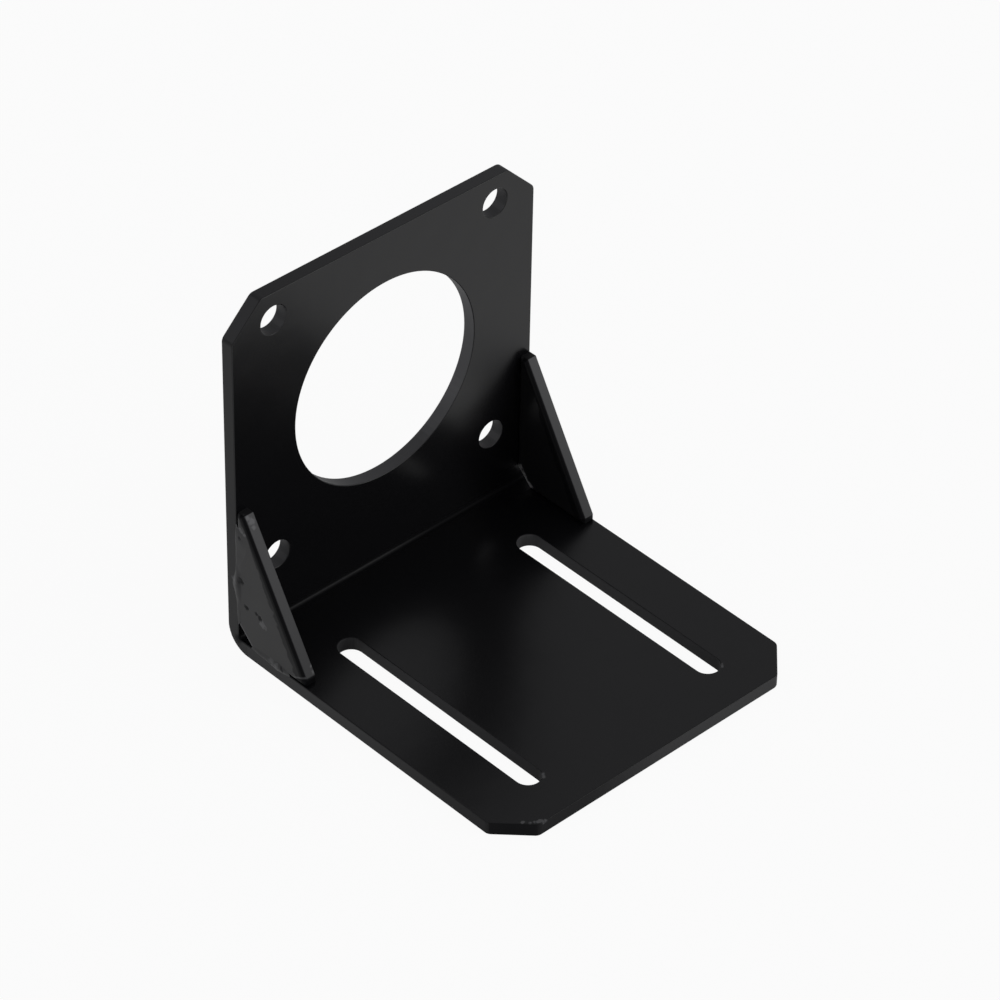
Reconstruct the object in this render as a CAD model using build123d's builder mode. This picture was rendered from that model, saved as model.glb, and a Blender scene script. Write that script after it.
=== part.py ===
from build123d import *
import os

# Motor mounting bracket: a steel sheet folded at a right angle, with two welded gussets.
# The motor's flange bolts to the inner face of the upright motor plate, and the base is slotted
# so that the whole bracket can slide to tension a belt before it is bolted down.
#
# Frame, in millimetres: +Z is up, X runs across the bracket, and +Y points from the free end of
# the base towards the motor plate. The origin is the middle of the footprint, on the underside.

# Sheet and fold
SHEET = 2.5             # thickness of the folded plate and of both gussets
DEPTH = 67.5            # free end of the base to the back of the motor plate
INNER_BEND = 0.5        # radius inside the fold
OUTER_BEND = 4.6        # radius outside the fold, where the stretched sheet is a little thinner

# Motor interface: a square flange with a round pilot boss
SHAFT_HEIGHT = 39.15    # pilot centre above the underside of the base
PILOT_BORE = 38.7
BOLT_PITCH = 47.14      # between neighbouring bolt holes, both ways
BOLT_HOLE = 5.25        # clearance for a 5 mm screw

# Outline, which follows the bolt holes
SIDE_MARGIN = 8.63      # bolt hole centres to the sides
TOP_MARGIN = 5.28       # upper bolt hole centres to the top
TOP_CORNER = 5.95       # 45 degree corners at the top of the motor plate
BASE_CORNER = 5.7       # 45 degree corners at the free end of the base
CORNER_BLEND = 1.5      # radius where such a corner meets the straight edges
EDGE_BREAK = 0.2        # rounding of the plate's outline, on both skins
RIM_BREAK = 0.15        # rounding of the rims of the round holes and the slots

# Base slots
SLOT_PITCH = 39.9       # between the slots' centre lines
SLOT_WIDTH = 4.5
SLOT_SETBACK = 11.5     # motor plate to the nearer end of each slot
SLOT_END_WALL = 7.3     # free end of the base to the other end of each slot

# Gussets: one punched blank, used twice
GUSSET_RISE = 26.1      # up the motor plate, from the base
GUSSET_REACH = 16.2     # out along the base, from the motor plate
TOP_LAND = 1.5          # level edge at the top of the blank
END_LAND = 1.05         # upright edge at its foot
FOLD_CLEARANCE = 3.1    # both legs of the corner that is cut off to clear the fold
ROLL_OVER = 0.8         # rounding that the punch drew into the blank's outline on one side
ROLL_SHARE = 0.77       # of the upright edge at the foot, the most that the roll-over may take up
BURR_BREAK = 0.2        # rounding of the free edges on the other side

# Weld beads lie on the bracket's outer sides, along the seams between each gusset and the plate.
# Each row is a section, and the rows are evenly spaced along the weld: how far the bead reaches
# onto the gusset, how far onto the folded plate, and how high it stands.
PLATE_WELD = [
    (1.00, 0.15, 0.10),
    (2.00, 0.25, 0.30),
    (2.35, 0.30, 0.40),
    (2.20, 0.30, 0.36),
    (1.60, 0.30, 0.26),
    (1.15, 0.30, 0.20),
    (1.00, 0.35, 0.20),
    (1.05, 0.75, 0.30),
    (1.10, 1.10, 0.36),
    (1.05, 0.70, 0.26),
    (1.00, 0.30, 0.18),
    (1.00, 0.25, 0.16),
    (1.00, 0.20, 0.14),
    (1.00, 0.15, 0.10),
]
BASE_WELD = [
    (1.00, 0.15, 0.10),
    (1.05, 0.25, 0.18),
    (1.10, 0.40, 0.24),
    (1.25, 0.75, 0.38),
    (1.10, 0.50, 0.26),
    (1.00, 0.15, 0.10),
]
WELD_TOP_GAP = 2.0      # top of each gusset to the start of its weld on the motor plate
WELD_END_GAP = 3.5      # foot of each gusset to the end of its weld on the base
WELD_FOLD_GAP = 0.1     # where each weld stops short of the cut-off corner

TOUCHING = 0.001        # edges this near a face lie on it

# Places that follow from the sizes
side_x = BOLT_PITCH / 2 + SIDE_MARGIN
top_z = SHAFT_HEIGHT + BOLT_PITCH / 2 + TOP_MARGIN
free_end_y = -DEPTH / 2
back_y = DEPTH / 2
plate_y = back_y - SHEET
slot_near_y = plate_y - SLOT_SETBACK
slot_far_y = free_end_y + SLOT_END_WALL
roll_over = min(ROLL_OVER, ROLL_SHARE * END_LAND)

os.makedirs("parts", exist_ok=True)


# The folded plate: an L section carried across the width, then its corners, holes and edges
with BuildPart() as folded_plate:
    with BuildSketch(Plane.YZ):
        with BuildLine():
            outer_skin = FilletPolyline(
                (free_end_y, 0), (back_y, 0), (back_y, top_z), radius=OUTER_BEND
            )
            inner_skin = FilletPolyline(
                (free_end_y, SHEET), (plate_y, SHEET), (plate_y, top_z), radius=INNER_BEND
            )
            Line(outer_skin @ 0, inner_skin @ 0)
            Line(outer_skin @ 1, inner_skin @ 1)
        make_face()
    extrude(amount=side_x, both=True)

    top_corners = folded_plate.edges().filter_by(Axis.Y).group_by(Axis.Z)[-1]
    chamfer(top_corners, length=TOP_CORNER)
    base_corners = folded_plate.edges().filter_by(Axis.Z).group_by(Axis.Y)[0]
    chamfer(base_corners, length=BASE_CORNER)

    def edges_through_sheet():
        """The short edges that cross the sheet's thickness at its corners."""
        at_top = folded_plate.edges().filter_by(Axis.Y).filter_by_position(Axis.Z, SHAFT_HEIGHT, top_z)
        at_end = folded_plate.edges().filter_by(Axis.Z).filter_by_position(Axis.Y, free_end_y, 0)
        return at_top + at_end

    fillet(edges_through_sheet(), radius=CORNER_BLEND)

    lines_across = folded_plate.edges().filter_by(Axis.X)
    fold_lines = lines_across.filter_by_position(Axis.Y, 0, back_y)
    fold_lines = fold_lines.filter_by_position(Axis.Z, 0, SHAFT_HEIGHT)
    outline = folded_plate.edges() - edges_through_sheet() - fold_lines
    fillet(outline, radius=EDGE_BREAK)

    motor_face = Plane(origin=(0, plate_y, SHAFT_HEIGHT), x_dir=(1, 0, 0), z_dir=(0, -1, 0))
    with BuildSketch(motor_face):
        Circle(PILOT_BORE / 2)
        with GridLocations(BOLT_PITCH, BOLT_PITCH, 2, 2):
            Circle(BOLT_HOLE / 2)
    extrude(amount=-SHEET, mode=Mode.SUBTRACT)
    fillet(folded_plate.edges(Select.LAST).filter_by(GeomType.CIRCLE), radius=RIM_BREAK)

    with BuildSketch(Plane.XY):
        with Locations((0, (slot_near_y + slot_far_y) / 2)):
            with GridLocations(SLOT_PITCH, 0, 2, 1):
                SlotOverall(slot_near_y - slot_far_y, SLOT_WIDTH, rotation=90)
    extrude(amount=SHEET, mode=Mode.SUBTRACT)
    slot_edges = folded_plate.edges(Select.LAST)
    fillet(slot_edges - slot_edges.filter_by(Axis.Z), radius=RIM_BREAK)

folded_plate.part.label = "folded_plate"
export_step(folded_plate.part, "parts/folded_plate.step")


def make_gusset(name, drawn_x):
    """One gusset, whose side with the roll-over faces -X at drawn_x."""
    peak_z = SHEET + GUSSET_RISE
    foot_y = plate_y - GUSSET_REACH
    with BuildPart() as gusset:
        with BuildSketch(Plane.YZ.offset(drawn_x)):
            with BuildLine():
                Polyline(
                    (plate_y, SHEET + FOLD_CLEARANCE),
                    (plate_y, peak_z),
                    (plate_y - TOP_LAND, peak_z),
                    (foot_y, SHEET + END_LAND),
                    (foot_y, SHEET),
                    (plate_y - FOLD_CLEARANCE, SHEET),
                    close=True,
                )
            make_face()
        extrude(amount=SHEET)

        drawn_side, burr_side = gusset.faces().filter_by(Axis.X).sort_by(Axis.X)
        on_plate = burr_side.edges().filter_by_position(Axis.Y, plate_y - TOUCHING, plate_y + TOUCHING)
        on_base = burr_side.edges().filter_by_position(Axis.Z, SHEET - TOUCHING, SHEET + TOUCHING)
        fillet(burr_side.edges() - on_plate - on_base, radius=BURR_BREAK)
        fillet(drawn_side.edges(), radius=roll_over)
    gusset.part.label = name
    export_step(gusset.part, f"parts/{name}.step")


make_gusset("left_gusset", -side_x)
make_gusset("right_gusset", side_x - SHEET)


def lay_bead(name, side, sections, section_plane, gusset_direction):
    """A weld bead lofted through humped sections along a seam.

    side is -1 for the left and 1 for the right. section_plane gives the plane of the section at a
    share of the weld's length, with its origin on the seam and its x axis pointing outwards, and
    gusset_direction is 1 where that plane's y axis points onto the gusset, or else -1. On the
    left the gusset's roll-over faces outwards, and the bead also fills the groove that it leaves.
    """
    groove = roll_over if side < 0 else 0
    with BuildPart() as bead:
        for number, (onto_gusset, onto_plate, crown) in enumerate(sections):
            share = number / (len(sections) - 1)
            with BuildSketch(section_plane(side, share)):
                with BuildLine():
                    gusset_toe = (0, gusset_direction * onto_gusset)
                    plate_toe = (0, -gusset_direction * onto_plate)
                    middle = gusset_direction * (onto_gusset - onto_plate) / 2
                    ThreePointArc(gusset_toe, (crown, middle), plate_toe)
                    if groove:
                        root = (-groove, 0)
                        rim = (0, gusset_direction * groove)
                        Polyline(plate_toe, (0, 0), root)
                        TangentArc(root, rim, tangent=(1, 0))
                        Line(rim, gusset_toe)
                    else:
                        Line(plate_toe, gusset_toe)
                make_face()
        loft()
    bead.part.label = name
    export_step(bead.part, f"parts/{name}.step")


def plate_seam(side, share):
    """The section plane of the weld on the motor plate: level, and lower as the share grows."""
    high_z = SHEET + GUSSET_RISE - WELD_TOP_GAP
    low_z = SHEET + FOLD_CLEARANCE + WELD_FOLD_GAP
    height = high_z + share * (low_z - high_z)
    return Plane(origin=(side * side_x, plate_y, height), x_dir=(side, 0, 0), z_dir=(0, 0, 1))


def base_seam(side, share):
    """The section plane of the weld on the base: upright, and further out as the share grows."""
    near_y = plate_y - FOLD_CLEARANCE - WELD_FOLD_GAP
    far_y = plate_y - GUSSET_REACH + WELD_END_GAP
    out_y = near_y + share * (far_y - near_y)
    return Plane(origin=(side * side_x, out_y, SHEET), x_dir=(side, 0, 0), z_dir=(0, -1, 0))


for side_name, side in (("left", -1), ("right", 1)):
    lay_bead(f"{side_name}_plate_weld", side, PLATE_WELD, plate_seam, -side)
    lay_bead(f"{side_name}_base_weld", side, BASE_WELD, base_seam, side)
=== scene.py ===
import math

import bpy
import numpy as np
from mathutils import Matrix, Vector


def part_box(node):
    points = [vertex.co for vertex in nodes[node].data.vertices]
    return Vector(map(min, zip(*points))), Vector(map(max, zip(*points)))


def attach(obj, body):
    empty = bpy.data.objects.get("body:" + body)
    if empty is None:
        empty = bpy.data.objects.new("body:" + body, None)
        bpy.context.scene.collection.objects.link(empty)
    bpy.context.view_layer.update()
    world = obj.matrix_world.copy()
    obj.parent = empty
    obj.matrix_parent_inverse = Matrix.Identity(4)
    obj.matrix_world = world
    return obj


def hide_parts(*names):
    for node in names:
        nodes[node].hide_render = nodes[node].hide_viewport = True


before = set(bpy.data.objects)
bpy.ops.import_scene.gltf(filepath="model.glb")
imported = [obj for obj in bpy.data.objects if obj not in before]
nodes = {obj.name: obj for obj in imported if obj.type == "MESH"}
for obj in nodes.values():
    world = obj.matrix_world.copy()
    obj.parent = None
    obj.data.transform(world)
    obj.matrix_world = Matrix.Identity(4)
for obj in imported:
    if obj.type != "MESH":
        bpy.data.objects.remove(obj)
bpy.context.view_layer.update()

MM = 0.001      # the scene is in metres, and most places and sizes below are in millimetres

# Places on the bracket, read from the frame. +Z is up, and +Y points at the motor plate.
plate_low, plate_high = (np.array(corner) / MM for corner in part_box("folded_plate"))
gusset_low, gusset_high = (np.array(corner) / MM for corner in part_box("left_gusset"))
side = plate_high[0]            # the outer sides lie at plus and minus this x
free_end = plate_low[1]         # of the base
back = plate_high[1]            # of the motor plate
crest_z = plate_high[2]         # top of the motor plate
top_of_base = gusset_low[2]     # which is also the sheet's thickness
motor_face = gusset_high[1]     # the inner face of the motor plate
gusset_foot = gusset_low[1]
gusset_top = gusset_high[2]

# Sizes of the CAD gussets that the frame doesn't state
TOP_LAND = 1.5                  # level edge at the top
END_LAND = 1.05                 # upright edge at the foot
FOLD_CLEARANCE = 3.1            # both legs of the corner that is cut off to clear the fold
ROLL_OVER = 0.8                 # rounding of the outline on the side that faces -X


# ---------------------------------------------------------------- shader maths

class Signal:
    """One output socket of a material, on which + - * / read as plain sums.

    Every operator adds one Math node. The reflected forms let a number stand on the left.
    """

    def __init__(self, finish, socket):
        self.finish = finish
        self.socket = socket

    def __add__(self, other):
        return self.finish.math("ADD", self, other)

    def __radd__(self, other):
        return self.finish.math("ADD", other, self)

    def __sub__(self, other):
        return self.finish.math("SUBTRACT", self, other)

    def __rsub__(self, other):
        return self.finish.math("SUBTRACT", other, self)

    def __mul__(self, other):
        return self.finish.math("MULTIPLY", self, other)

    def __rmul__(self, other):
        return self.finish.math("MULTIPLY", other, self)

    def __truediv__(self, other):
        return self.finish.math("DIVIDE", self, other)

    def __lt__(self, other):
        return self.finish.math("LESS_THAN", self, other)

    def __gt__(self, other):
        return self.finish.math("GREATER_THAN", self, other)

    def __neg__(self):
        return 0.0 - self

    def __abs__(self):
        return self.finish.math("ABSOLUTE", self)


class Finish:
    """A material's node tree, with short methods for the nodes that the paints share.

    place is the point of the surface in the object's own coordinates, in millimetres.
    """

    def __init__(self, name):
        self.material = bpy.data.materials.new(name)
        self.material.use_nodes = True
        self.tree = self.material.node_tree
        self.tree.nodes.clear()
        metres = self.node("ShaderNodeTexCoord", output="Object")
        self.place = self.node(
            "ShaderNodeVectorMath", {"operation": "SCALE"}, _0=metres, scale=1.0 / MM
        )

    def node(self, kind, settings=None, output=0, **inputs):
        """Adds a node: its settings are set first, then each socket gets its value or its link.

        An input is named by its socket in lower case with underscores, or by _number. The output
        is given by its number or its name.
        """
        added = self.tree.nodes.new(kind)
        for setting, value in (settings or {}).items():
            setattr(added, setting, value)
        for label, value in inputs.items():
            if label[1:].isdigit():
                socket = added.inputs[int(label[1:])]
            else:
                wanted = label.replace("_", " ")
                socket = next(s for s in added.inputs if s.enabled and s.name.lower() == wanted)
            if isinstance(value, Signal):
                self.tree.links.new(value.socket, socket)
            else:
                socket.default_value = value
        return Signal(self, added.outputs[output]) if added.outputs else None

    def math(self, operation, first, second=0.0):
        """The result of one Math node."""
        return self.node("ShaderNodeMath", {"operation": operation}, _0=first, _1=second)

    def most(self, first, *others):
        """The greatest of several values."""
        for other in others:
            first = self.math("MAXIMUM", first, other)
        return first

    def rise(self, value, low, high):
        """0 where the value is under low, 1 where it is over high, and a smooth rise between."""
        return self.node(
            "ShaderNodeMapRange", {"interpolation_type": "SMOOTHSTEP"},
            value=value, from_min=low, from_max=high,
        )

    def fall(self, value, low, high):
        """1 where the value is under low, 0 where it is over high, and a smooth fall between."""
        return 1.0 - self.rise(value, low, high)

    def blend(self, factor, first, second):
        """A colour between two."""
        return self.node(
            "ShaderNodeMix", {"data_type": "RGBA"}, output="Result",
            factor=factor, _6=first, _7=second,
        )

    def parts(self, vector):
        """The x, y and z of a vector."""
        split = self.node("ShaderNodeSeparateXYZ", vector=vector).socket.node
        return [Signal(self, socket) for socket in split.outputs]

    def direction(self):
        """The x, y and z of the way that the surface faces."""
        return self.parts(self.node("ShaderNodeNewGeometry", output="True Normal"))

    def distance(self, point):
        """How far the surface lies from a point."""
        return self.node(
            "ShaderNodeVectorMath", {"operation": "DISTANCE"}, output="Value",
            _0=self.place, _1=point,
        )

    def noise(self, per_mm, detail, roughness=0.5):
        """A smooth noise about 0.5, with per_mm swells to a millimetre and finer ones as detail."""
        return self.node(
            "ShaderNodeTexNoise", vector=self.place,
            scale=per_mm, detail=detail, roughness=roughness,
        )

    def spots(self, marks):
        """1 in the middle of every mark of a list of (centre, radius), and 0 away from them.

        A noise pulls the distances about, so that every outline is ragged.
        """
        ragged = 1.6        # how far the noise pulls, as a share of the radius
        core = 0.3          # share of the radius inside which a mark is full
        pull = self.noise(per_mm=1.5, detail=1.0) - 0.5
        total = 0.0
        for centre, radius in marks:
            away = self.distance(centre) + pull * ragged * radius
            total = self.most(total, self.fall(away, core * radius, radius))
        return total


# ---------------------------------------------------------------- paint

# Small damage and painted highlights, as a centre on the surface and a radius in millimetres
PITS = [
    ((-side, motor_face - 0.9, 24.2), 0.6),
    ((-side, motor_face - 0.9, 15.3), 0.8),
    ((-side, motor_face - 2.3, 10.6), 0.65),
    ((-side, motor_face - 4.8, 10.7), 0.65),
    ((-side, motor_face - 5.5, 10.3), 0.65),
    ((-side, motor_face - 10.9, 2.9), 0.7),
]
NICKS_AND_GLINTS = [
    # on the left gusset's outer face and its welds: painted highlights on the welds' top ridge and
    # lumps, and a light speck
    ((-side, motor_face - 6.2, 9.2), 1.0),
    ((-side, motor_face - 0.3, 26.4), 0.5),
    ((-side, motor_face - 0.9, 26.1), 0.5),
    ((-side, motor_face - 1.5, 25.8), 0.5),
    ((-side, motor_face - 2.1, 25.5), 0.5),
    ((-side, motor_face + 0.6, 14.6), 0.9),
    ((-side, motor_face - 8.3, 2.9), 1.0),
    ((-side, motor_face - 9.5, 2.8), 0.9),
    # on the slope of the left gusset: nicks at its foot, and a painted highlight at its top
    ((-side + 2.3, gusset_foot + 0.3, 4.4), 0.6),
    ((-side + 2.4, gusset_foot + 0.9, 5.3), 0.4),
    ((-side + 1.1, motor_face - 1.7, gusset_top - 0.4), 0.8),
    ((-side + 1.4, motor_face - 2.1, gusset_top - 1.1), 0.8),
    ((-side + 1.5, motor_face - 2.6, gusset_top - 1.9), 0.6),
    # at the slots' ends
    ((-18.1, free_end + 8.3, top_of_base), 0.6),
    ((-18.4, free_end + 7.8, top_of_base), 0.6),
    ((21.4, free_end + 7.9, top_of_base), 0.7),
    # along the base's left front corner
    ((-28.0, free_end + 2.1, top_of_base), 0.4),
    ((-27.1, free_end + 1.2, top_of_base), 0.4),
    ((-26.7, free_end + 0.9, top_of_base), 0.4),
    ((-26.3, free_end + 0.6, top_of_base), 0.4),
    ((-25.9, free_end + 0.4, top_of_base), 0.5),
    ((-25.5, free_end + 0.2, top_of_base), 0.5),
    ((-25.1, free_end + 0.1, top_of_base), 0.5),
]
# A row of painted highlights down the cut-off corner of the right gusset, on its inner face
CUT_CORNER_GLINTS = [
    ((side - top_of_base, motor_face - 0.4 - 0.55 * step, 5.6 - 0.55 * step), 1.1)
    for step in range(6)
]

# Bounds between which a face comes to count as looking one way: a diagonal one counts fully
DIAGONAL = (0.4, 0.65)

BLACK = (0.0035, 0.0035, 0.0042, 1.0)
THIN_PAINT_AND_HIGHLIGHT = (0.16, 0.16, 0.165, 1.0)   # thin paint over bright steel, and painted highlights
# Pale grey of the painted highlights at the right gusset's cut corner
GLINT_GREY = (0.5, 0.5, 0.5, 1.0)
BUMP_STRENGTH = 0.3
BUMP_DISTANCE = 0.03 * MM
WAVE_HEIGHT = 2.5               # of the paint's slow waves, in bump distances
WELD_LUMP_HEIGHT = 3.0          # likewise
PIT_DEPTH = 6.0                 # likewise
SHEET_SPECULAR = 0.33
GUSSET_SPECULAR = 0.27
WELD_SPECULAR = 0.25
# A paint that hardly shines, used for dull paint and for painted shade
DULL_SPECULAR = 0.08
DULL_ROUGHNESS = 0.6


def clouds(paint):
    """A slow noise, by which a paint's tone and roughness wander."""
    return paint.noise(per_mm=0.09, detail=2.0)


def waves(paint):
    """The slow waves in a paint's surface, as a height."""
    return paint.noise(per_mm=0.24, detail=0.0) * WAVE_HEIGHT


def finish_paint(paint, tone, roughness, height, specular, dull, glint=0.0):
    """Ends a paint, from values that all run from 0 to 1, apart from the height.

    tone goes from black to the grey of thin paint over bright steel, which also gives painted
    highlights.
    dull mixes in paint that hardly shines, which also gives painted shade. The last value mixes in
    a pale grey, as a painted highlight.
    """
    colour = paint.blend(glint, paint.blend(tone, BLACK, THIN_PAINT_AND_HIGHLIGHT), GLINT_GREY)
    bump = paint.node(
        "ShaderNodeBump", strength=BUMP_STRENGTH, distance=BUMP_DISTANCE, height=height
    )
    satin = paint.node(
        "ShaderNodeBsdfPrincipled", base_color=colour, roughness=roughness, normal=bump,
        specular_ior_level=specular,
    )
    dull_coat = paint.node(
        "ShaderNodeBsdfPrincipled", base_color=colour, roughness=DULL_ROUGHNESS, normal=bump,
        specular_ior_level=DULL_SPECULAR,
    )
    surface = paint.node("ShaderNodeMixShader", _0=dull, _1=satin, _2=dull_coat)
    paint.node("ShaderNodeOutputMaterial", surface=surface)
    return paint.material


def sheet_paint():
    """Satin paint on the folded sheet: smooth on both skins, and rougher over the sheared edges.

    An edge is told from a skin by its direction: a skin of the base looks up or down, one of the
    motor plate looks forwards or back, and round the fold no skin looks sideways.
    """
    paint = Finish("sheet_paint")
    cloud = clouds(paint)
    x, y, z = paint.parts(paint.place)
    facing_x, facing_y, facing_z = paint.direction()

    # Which part of the sheet it is
    fold_size = 2.2             # past both inner faces
    upright = z > top_of_base + fold_size
    base = (1.0 - upright) * (y < motor_face - fold_size)
    fold = 1.0 - upright - base

    # Its edges, and the way that they look
    across_sheet = (
        upright * (1.0 - abs(facing_y)) + base * (1.0 - abs(facing_z)) + fold * abs(facing_x)
    )
    edge = paint.rise(across_sheet, 0.15, 0.7)
    forwards = paint.rise(-facing_y, *DIAGONAL)
    leftwards = paint.rise(-facing_x, *DIAGONAL)
    upwards = paint.rise(facing_z, *DIAGONAL)
    level = paint.rise(facing_z, 0.8, 0.95)

    # Walls of holes and slots are edges well inside the outline and its cut corners
    hole_margin, slot_margin, corner_margin = 2.5, 6.0, 8.0
    bolt_holes_from = 20.0      # in x, on the right
    bored = upright * edge * (abs(x) < side - hole_margin) * (z < crest_z - hole_margin)
    bored = bored * (abs(x) + z < side + crest_z - corner_margin)
    right_of_pilot = bored * paint.rise(x, 13.0, 17.5) * (x < bolt_holes_from)
    slot_walls = base * edge * (abs(x) < side - slot_margin) * (y > free_end + slot_margin)
    cut_corner = upright * edge * leftwards * upwards
    crest = upright * (z > crest_z - 1.0) * level

    # Paint pooled in the fold is duller. Its dulling grows to the right, and the fold's right end
    # is dull all round, both as painted shade
    from_face, from_base = y - motor_face, z - top_of_base
    from_fold = paint.math("SQRT", from_face * from_face + from_base * from_base)
    pooled = paint.fall(from_fold, 0.3, 1.2)
    pooled_and_shaded = pooled * (0.6 + 0.4 * paint.rise(x, -2.0, 12.0))
    shaded_fold_end = 0.9 * paint.fall(from_fold, 2.2, 4.5) * paint.rise(x, side - 7.5, side - 4.5)

    # Painted shade: the base's front edge is dull at its left, and its left edge at the front.
    # Painted highlight: both are paler towards their other ends
    to_right = paint.rise(x, -27.0, 27.0)
    to_back = paint.rise(y, -33.0, 16.0)
    shaded_edges = base * edge * (
        0.85 * forwards * paint.fall(x, -18.0, 4.0) + 0.6 * leftwards * (1.0 - to_back)
    )
    lit_edges = base * edge * (forwards * to_right + leftwards * to_back)

    # Painted highlights in the tone: the walls of the bores and slots, the walls right of the pilot
    # bore, the cut corners' facets, the crest (more so to the right) and the lit base edges are
    # painted lighter. The cloud on the edges is the paint's own.
    tone = (
        0.03 * edge * cloud + 0.3 * bored + 0.3 * right_of_pilot + 0.15 * slot_walls
        + 0.2 * cut_corner + crest * (0.07 + 0.09 * to_right) + 0.08 * lit_edges
        + 0.5 * paint.spots(NICKS_AND_GLINTS)
    )
    roughness = 0.21 + 0.06 * cloud + 0.34 * edge + 0.2 * pooled
    dull = paint.most(pooled_and_shaded, shaded_edges, shaded_fold_end)
    return finish_paint(paint, tone, roughness, waves(paint), SHEET_SPECULAR, dull)


def gusset_paint():
    """The same paint on the gussets, a little thinner, with pits and nicks from the welding.

    Along the slope the paint is dull and darker: darkest over the roll-over beside the edge, as
    painted shade, and less so up to a ragged border, which is further in towards the foot. There
    are also painted highlights on the cut-off corner's rim, on a lip at the foot and among the
    nicks, and painted shade over an open seam and on the lands.
    """
    paint = Finish("gusset_paint")
    cloud = clouds(paint)
    x, y, z = paint.parts(paint.place)
    facing_x, facing_y, facing_z = paint.direction()
    edge = paint.rise(1.0 - abs(facing_x), 0.3, 0.9)
    drawn_side = paint.rise(-facing_x, 0.1, 0.3)

    # inwards is measured square to the slope, and down runs from 0 at its top to 1 at its foot
    slope_y = (motor_face - TOP_LAND) - gusset_foot
    slope_z = gusset_top - (top_of_base + END_LAND)
    slope = math.hypot(slope_y, slope_z)
    inwards = (
        (y - (motor_face - TOP_LAND)) * (slope_z / slope) - (z - gusset_top) * (slope_y / slope)
    )
    down = (gusset_top - z) / slope_z

    # A dull, darker band along the slope, and the roll-over beside the edge darker still as painted
    # shade
    tatters = paint.noise(per_mm=0.42, detail=2.0, roughness=0.6) - 0.5
    tatter_depth, widening = 2.0, 1.2       # in millimetres
    ragged = inwards + tatters * tatter_depth - down * widening
    band = drawn_side * paint.fall(ragged, 0.75, 1.05)
    roll_over_shade = drawn_side * paint.fall(-facing_x, 0.75, 0.97) * (inwards < ROLL_OVER)

    # A painted highlight along the rim of the cut-off corner, measured square to the cut
    past_cut = ((z - top_of_base) - (y - (motor_face - FOLD_CLEARANCE))) * math.sqrt(0.5)
    rim_highlight = paint.fall(past_cut, 0.7, 1.0)

    # Towards the foot of the left gusset an open seam rises off the base, painted dark as shade,
    # with a painted highlight on a lip over it
    seam_start, seam_length, seam_height = 12.3, 3.6, 1.3
    seam_rise = seam_height * paint.rise((motor_face - seam_start) - y, 0.0, seam_length)
    has_seam = (seam_rise > 0.05) * (x < 0.0)
    above_seam = z - top_of_base - seam_rise
    seam = has_seam * paint.fall(above_seam, -0.1, 0.1)
    lip_highlight = has_seam * drawn_side * (
        paint.rise(above_seam, 0.0, 0.1) * paint.fall(above_seam, 0.25, 0.45)
    )

    # The top and end lands are dulled, as painted shade
    unlit_lands = paint.rise(facing_z, 0.85, 0.95) + paint.rise(-facing_y, 0.93, 0.98)
    pits = paint.spots(PITS)
    dull = paint.most(0.62 * band, 0.97 * roll_over_shade, 0.9 * pits)
    dull = paint.most(dull * (1.0 - lip_highlight), seam, 0.8 * unlit_lands)
    edge_tone = 0.26 + 0.12 * cloud - 0.22 * down
    tone = (
        (1.0 - dull) * (0.035 + edge * edge_tone) + 0.45 * rim_highlight + 0.2 * lip_highlight
        + 0.48 * paint.spots(NICKS_AND_GLINTS)
    )
    roughness = 0.38 + 0.08 * cloud
    height = waves(paint) - pits * PIT_DEPTH
    # Painted highlights at the cut-off corner, in a pale grey
    glint = 0.65 * paint.spots(CUT_CORNER_GLINTS)
    return finish_paint(paint, tone, roughness, height, GUSSET_SPECULAR, dull, glint)


def weld_paint():
    """The same paint over weld metal."""
    paint = Finish("weld_paint")
    cloud = clouds(paint)
    pits = paint.spots(PITS)
    # The nicks list adds painted highlights on the welds' ridge and lumps.
    tone = 0.08 + 0.04 * cloud + 0.3 * paint.spots(NICKS_AND_GLINTS)
    roughness = 0.34 + 0.1 * cloud
    height = WELD_LUMP_HEIGHT * cloud - pits * PIT_DEPTH
    return finish_paint(paint, tone, roughness, height, WELD_SPECULAR, 0.8 * pits)


gusset_finish = gusset_paint()
weld_finish = weld_paint()
finish_of = {
    "folded_plate": sheet_paint(), "left_gusset": gusset_finish, "right_gusset": gusset_finish
}
for name, node in nodes.items():
    for paint_slot in node.material_slots:
        paint_slot.material = finish_of.get(name, weld_finish)


# ---------------------------------------------------------------- weld beads

STATIONS = 160          # rings along a bead, its two end points included
POINTS_ACROSS = 25      # on the outside of one ring
SMOOTHING = 15          # stations over which the given values are smoothed
LUMPS = 30
LUMP_SIZE = 0.9         # how far a lump spreads, in millimetres
LUMP_SPAN = 1.6         # millimetres that a unit of w counts for, in how far a lump spreads
LUMP_HEIGHT = 0.02
TALLEST = 0.38          # no bead stands higher than the CAD bead that it replaces
UNDERSIDE = 0.03        # how deep a bead's inside lies under the faces that it joins
SHARP = math.radians(60)    # faces that meet at more than this keep a crease, as at the toes


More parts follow.
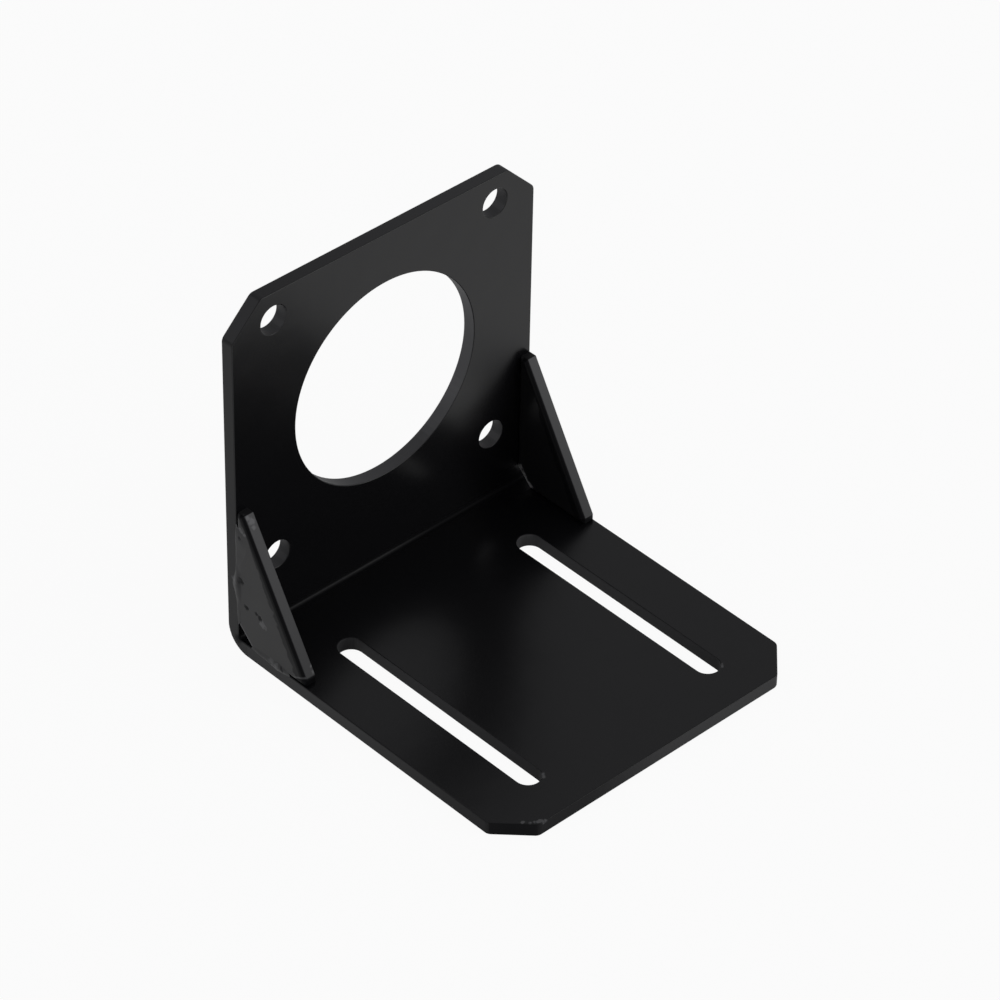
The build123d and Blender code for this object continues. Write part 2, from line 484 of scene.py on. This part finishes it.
def weld_bead(
    node, seam, towards_gusset, outwards, onto_gusset, onto_plate, crown, groove, seed
):
    """A closed bead along a straight seam, which stands for one CAD bead.

    u runs from 0 to 1 along the seam, and w across it from -1 at the toe on the plate to 1 at the
    toe on the gusset. The toes lie at the given distances, and the crown has the given heights,
    all smoothed along u. Everything shrinks towards both ends by the root of 1 - s^8, where
    s = 2u - 1. The outside rises by crown * (1 - w^2)^1.5, plus random round lumps times
    1 - w^2, and is kept between 0 and the tallest height. The inside is flat and lies a little
    under the faces. Where there is a groove, it also follows the quarter round of the gusset's
    edge.
    """
    chance = np.random.default_rng(seed)
    stations = np.linspace(0.0, 1.0, STATIONS)
    u = stations[1:-1, None]
    w = np.linspace(-1.0, 1.0, POINTS_ACROSS)[None, :]
    start, end = (np.array(point, dtype=float) for point in seam)
    length = np.linalg.norm(end - start)

    def along(values):
        """Evenly spaced values, interpolated and smoothed at every station but the ends."""
        knots = np.linspace(0.0, 1.0, len(values))
        padded = np.pad(np.interp(stations, knots, values), SMOOTHING // 2, mode="edge")
        kernel = np.hanning(SMOOTHING)
        return np.convolve(padded, kernel / kernel.sum(), "valid")[1:-1, None]

    def lumps():
        """A sum of round hills, each at a random place and of a random height."""
        centres_u = chance.random(LUMPS)
        centres_w = chance.uniform(-1, 1, LUMPS)
        heights = chance.normal(0, 1, LUMPS)
        field = 0.0 * (u + w)
        for centre_u, centre_w, height in zip(centres_u, centres_w, heights):
            off_u = (u - centre_u) * length / LUMP_SIZE
            off_w = (w - centre_w) * LUMP_SPAN / LUMP_SIZE
            field = field + height * np.exp(-(off_u ** 2 + off_w ** 2))
        return field

    taper = np.sqrt(1.0 - (2.0 * u - 1.0) ** 8)
    reach = np.where(w < 0, w * along(onto_plate), w * along(onto_gusset)) * taper
    hump = along(crown) * (1.0 - w ** 2) ** 1.5 * taper
    outside = np.clip(hump + LUMP_HEIGHT * lumps() * (1.0 - w ** 2) * taper, 0.0, TALLEST)
    inside = -UNDERSIDE * taper + 0.0 * w
    if groove:
        from_root = groove - np.clip(reach, 0, groove)
        depth = groove - np.sqrt(np.clip(groove ** 2 - from_root ** 2, 0, None))
        inside = np.where(reach >= 0, inside - depth * taper, inside)

    # A ring runs over the outside from toe to toe and back along the inside
    height = np.concatenate([outside, inside[:, -2:0:-1]], axis=1)[:, :, None]
    across = np.concatenate([reach, reach[:, -2:0:-1]], axis=1)[:, :, None]
    middles = start + (end - start) * u[:, :, None]
    rings = middles + height * np.array(outwards) + across * np.array(towards_gusset)
    count, around = rings.shape[:2]
    points = np.concatenate([rings.reshape(-1, 3), start[None], end[None]]) * MM

    # Quads join each ring to the next one, and triangles join the first and last to the ends
    first = np.arange(count - 1)[:, None] * around
    here = np.arange(around)[None, :]
    following = (here + 1) % around
    quads = np.stack(
        [first + here, first + following, first + around + following, first + around + here],
        axis=-1,
    ).reshape(-1, 4)
    last = (count - 1) * around
    start_point = np.full(around, count * around)
    end_point = start_point + 1
    caps = np.concatenate([
        np.stack([following[0], here[0], start_point], axis=-1),
        np.stack([last + here[0], last + following[0], end_point], axis=-1),
    ])
    inside_out = np.linalg.det(np.stack([towards_gusset, outwards, end - start])) > 0
    if inside_out:
        quads, caps = quads[:, ::-1], caps[:, ::-1]

    mesh = bpy.data.meshes.new(node + "_lumpy")
    mesh.from_pydata(points.tolist(), [], quads.tolist() + caps.tolist())
    mesh.polygons.foreach_set("use_smooth", np.ones(len(mesh.polygons), dtype=bool))
    mesh.set_sharp_from_angle(angle=SHARP)
    mesh.materials.append(weld_finish)
    piece = bpy.data.objects.new(node + "_lumpy", mesh)
    bpy.context.collection.objects.link(piece)
    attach(piece, "root")
    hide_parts(node)


for hand, sign, groove in (("left", -1, ROLL_OVER), ("right", 1, 0.0)):
    low, high = (np.array(corner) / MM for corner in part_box(hand + "_plate_weld"))
    weld_bead(
        hand + "_plate_weld",
        seam=[(sign * side, motor_face, high[2]), (sign * side, motor_face, low[2])],
        towards_gusset=(0, -1, 0), outwards=(sign, 0, 0),
        onto_gusset=[0.3, 1.6, 2.4, 2.3, 1.7, 1.1, 0.95, 0.9, 1.0, 0.95, 0.9, 0.85, 0.85, 0.8],
        onto_plate=[0.1, 0.2, 0.25, 0.2, 0.2, 0.2, 0.3, 0.8, 1.2, 0.6, 0.2, 0.15, 0.15, 0.1],
        crown=[
            0.04, 0.08, 0.08, 0.06, 0.05, 0.05, 0.08, 0.16, 0.26, 0.14, 0.05, 0.04, 0.04, 0.03
        ],
        groove=groove, seed=3,
    )
    low, high = (np.array(corner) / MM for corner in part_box(hand + "_base_weld"))
    weld_bead(
        hand + "_base_weld",
        seam=[(sign * side, high[1], top_of_base), (sign * side, low[1], top_of_base)],
        towards_gusset=(0, 0, 1), outwards=(sign, 0, 0),
        onto_gusset=[0.8, 0.85, 0.9, 1.0, 1.3, 1.1, 0.8],
        onto_plate=[0.1, 0.15, 0.2, 0.4, 0.7, 0.4, 0.1],
        crown=[0.03, 0.05, 0.06, 0.1, 0.24, 0.1, 0.03],
        groove=groove, seed=11,
    )


# ---------------------------------------------------------------- floor, light and camera

FLOOR_SIZE = 8.0                    # metres
FLOOR_DROP = 0.05 * MM              # keeps the floor's face off the bracket's underside
FLOOR_COLOUR = (0.85, 0.85, 0.85, 1.0)
WHITE = (1.0, 1.0, 1.0, 1.0)
SEEN_SHARE = 0.94                   # of glow in the floor where it is seen straight
MIRRORED_SHARE = 0.7                # of glow in the floor where it is mirrored in the paint
SHADED_LOSS = 0.4                   # of that share, right under the bracket
SHADOW_PLACE = (51.5, 6.0, 0.0)        # centre of a painted shadow on the floor beside the right gusset, in millimetres

WORLD_COLOUR = (0.8, 0.8, 0.82, 1.0)
WORLD_STRENGTH = 0.5


def pale_floor():
    """A white floor, just at white where nothing shades it. It keeps the bracket's shadow.

    Seen straight it is nearly all even white. Mirrored in the paint it follows its light more. It
    is darker there right under the bracket, where little light reaches it, and it carries a
    painted shadow at one place on its right.
    """
    floor_finish = Finish("pale_floor")
    matt = floor_finish.node("ShaderNodeBsdfDiffuse", color=FLOOR_COLOUR)
    glow = floor_finish.node("ShaderNodeEmission", color=WHITE, strength=1.0)
    path = floor_finish.node("ShaderNodeLightPath").socket.node
    seen, mirrored, through = (
        Signal(floor_finish, path.outputs[kind])
        for kind in ("Is Camera Ray", "Is Glossy Ray", "Is Transmission Ray")
    )
    x, y, _ = floor_finish.parts(floor_finish.place)
    past_bracket = floor_finish.most(abs(x) - side, abs(y) - back)
    shaded = floor_finish.fall(past_bracket, -5.0, 3.0)
    # A painted shadow on the floor at one place beside the right gusset
    painted_shadow = floor_finish.fall(floor_finish.distance(SHADOW_PLACE), 3.0, 9.5)
    mirrored_share = (MIRRORED_SHARE - SHADED_LOSS * shaded) * (1.0 - painted_shadow)
    share = (seen + through) * SEEN_SHARE + mirrored * mirrored_share
    both = floor_finish.node("ShaderNodeMixShader", _0=share, _1=matt, _2=glow)
    floor_finish.node("ShaderNodeOutputMaterial", surface=both)
    return floor_finish.material


bpy.ops.mesh.primitive_plane_add(size=FLOOR_SIZE, location=(0, 0, -FLOOR_DROP))
floor = bpy.context.object
floor.name = "floor"
floor.data.materials.append(pale_floor())


def grey_world():
    """Even light from all round."""
    world = bpy.data.worlds.new("studio")
    bpy.context.scene.world = world
    world.use_nodes = True
    background = world.node_tree.nodes["Background"]
    background.inputs["Color"].default_value = WORLD_COLOUR
    background.inputs["Strength"].default_value = WORLD_STRENGTH


def soft_box(name, where, width, height, watts, aim=(0, 0, 0.03)):
    """A rectangular lamp at a place in metres, turned towards a point on the bracket."""
    lamp = bpy.data.lights.new(name, "AREA")
    lamp.shape = "RECTANGLE"
    lamp.size = width
    lamp.size_y = height
    lamp.energy = watts
    holder = bpy.data.objects.new(name, lamp)
    bpy.context.collection.objects.link(holder)
    turn = (Vector(aim) - Vector(where)).to_track_quat("-Z", "Y").to_matrix().to_4x4()
    holder.matrix_world = Matrix.Translation(where) @ turn


def place_camera():
    """A long lens, left of the free end and above it, with a slight roll.

    The turn round the bracket and the height above it are angles about a point near its middle.
    """
    turn, rise, roll = (math.radians(degrees) for degrees in (-43.816, 38.763, 1.182))
    distance = 763.998 * MM
    middle = Vector((-2.797, 1.25, 33.589)) * MM
    backwards = Vector(
        (math.sin(turn) * math.cos(rise), -math.cos(turn) * math.cos(rise), math.sin(rise))
    )
    level = Vector((math.cos(turn), math.sin(turn), 0))
    above = backwards.cross(level)
    right = level * math.cos(roll) + above * math.sin(roll)
    up = above * math.cos(roll) - level * math.sin(roll)
    camera = bpy.data.cameras.new("camera")
    camera.lens = 173.92
    camera.clip_start = 0.05
    camera.clip_end = 50.0
    holder = bpy.data.objects.new("camera", camera)
    bpy.context.collection.objects.link(holder)
    facing = Matrix((right, up, backwards)).transposed().to_4x4()
    holder.matrix_world = Matrix.Translation(middle + backwards * distance) @ facing
    bpy.context.scene.camera = holder


grey_world()
soft_box("side_softbox", (0.6, -0.9, 0.3), width=0.7, height=0.5, watts=2.5)
place_camera()
bpy.context.scene.view_settings.view_transform = "Standard"
